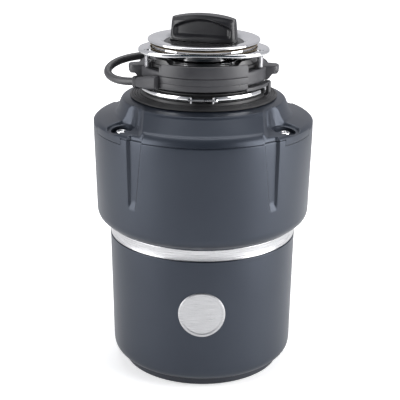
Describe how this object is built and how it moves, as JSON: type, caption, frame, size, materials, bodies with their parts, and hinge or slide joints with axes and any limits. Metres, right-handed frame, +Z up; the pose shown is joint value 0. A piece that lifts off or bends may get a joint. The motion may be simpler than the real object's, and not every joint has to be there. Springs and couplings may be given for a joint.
{
  "type": "garbage disposal",
  "caption": "Under-sink food waste disposal: slate two-step body, metal band and badge, bolted top cover, rubber sink mount with switch housing and cable, sink flange and twist stopper.",
  "frame": {"origin": "centre of the base's underside, on the shaft's axis", "axes": "+Z up along the shaft, -Y out of the badge at the front, +Y out of the discharge outlet"},
  "size_m": [0.2264, 0.2264, 0.3724],
  "materials": {
    "slate": "satin slate grey",
    "trim_metal": "brushed, bright edges",
    "chrome_fittings": "polished",
    "zinc_fasteners": "plated",
    "black_rubber": "satin",
    "black_plastic": "satin black",
    "grey_plastic": "satin grey",
    "grey_cable": "satin grey jacket",
    "stainless": "ground",
    "cast_alloy": "as cast",
    "lamination": "varnished laminations",
    "copper_winding": "enamelled copper wire",
    "insulation": "foam and pressed fibre",
    "red_plastic": "moulded red"
  },
  "bodies": {
    "housing": {"backup_flange": "chrome_fittings", "badge": "trim_metal", "band_clamp": "chrome_fittings", "base_pan": "slate", "cable_boot": "grey_plastic", "cable_gland": "black_rubber", "capacitor": "black_plastic", "clamp_bolt": "chrome_fittings", "cover_bolt_1": "chrome_fittings", "cover_bolt_2": "chrome_fittings", "cover_bolt_3": "chrome_fittings", "cover_bolt_4": "chrome_fittings", "cover_sensor": "black_plastic", "discharge_seal": "black_rubber", "dishwasher_inlet_plug": "black_plastic", "fibre_gasket": "insulation", "grind_chamber": "black_plastic", "lower_bearing": "stainless", "lower_end_bell": "cast_alloy", "lower_shell": "slate", "lower_windings": "copper_winding", "mounting_gasket": "black_rubber", "mounting_screw_1": "zinc_fasteners", "mounting_screw_2": "zinc_fasteners", "mounting_screw_3": "zinc_fasteners", "overload_protector": "black_plastic", "shaft_seal": "black_rubber", "shredder_ring": "stainless", "sink_flange": "chrome_fittings", "snap_ring": "chrome_fittings", "sound_insulation": "insulation", "stator_core": "lamination", "switch_bracket": "grey_plastic", "switch_cable": "grey_cable", "switch_housing": "grey_plastic", "through_bolt_1": "zinc_fasteners", "through_bolt_2": "zinc_fasteners", "top_cover": "slate", "trim_band": "trim_metal", "upper_bearing": "stainless", "upper_end_bell": "cast_alloy", "upper_mounting_ring": "chrome_fittings", "upper_shell": "slate", "upper_windings": "copper_winding", "wire_bushing": "black_rubber", "wiring_cover": "zinc_fasteners"},
    "rotor": {"motor_shaft": "stainless", "rotor_core": "lamination", "turntable": "stainless", "shaft_nut": "stainless"},
    "lug_1": {"swivel_lug_1": "stainless"},
    "lug_2": {"swivel_lug_2": "stainless"},
    "lock_ring": {"lower_mounting_ring": "grey_plastic", "lock_ramp_ring": "black_plastic"},
    "stopper_body": {"stopper_skirt": "black_plastic", "stopper_seal": "black_rubber"},
    "stopper_top": {"stopper_disc": "black_plastic", "stopper_grip": "black_plastic", "stopper_magnet": "stainless"},
    "reset": {"reset_button": "red_plastic"}
  },
  "joints": [
    {"name": "rotor_spin", "type": "hinge", "parent": "housing", "child": "rotor", "pos_m": [0, 0, 0.19], "axis": [0, 0, 1], "continuous": true},
    {"name": "lug_1_swivel", "type": "hinge", "parent": "rotor", "child": "lug_1", "pos_m": [0.048, 0, 0.2], "axis": [0, 0, 1], "continuous": true},
    {"name": "lug_2_swivel", "type": "hinge", "parent": "rotor", "child": "lug_2", "pos_m": [-0.048, 0, 0.2], "axis": [0, 0, 1], "continuous": true},
    {"name": "lock_ring_twist", "type": "hinge", "parent": "housing", "child": "lock_ring", "pos_m": [0, 0, 0.318], "axis": [0, 0, 1], "range_deg": [-25, 0]},
    {"name": "stopper_lift", "type": "slide", "parent": "housing", "child": "stopper_body", "axis": [0, 0, 1], "range_m": [0, 0.06]},
    {"name": "stopper_turn", "type": "hinge", "parent": "stopper_body", "child": "stopper_top", "pos_m": [0, 0, 0.345], "axis": [0, 0, 1], "range_deg": [-90, 0]},
    {"name": "reset_press", "type": "slide", "parent": "housing", "child": "reset", "axis": [0, 0, 1], "range_m": [0, 0.0025], "stiffness_N_per_m": 600}
  ]
}
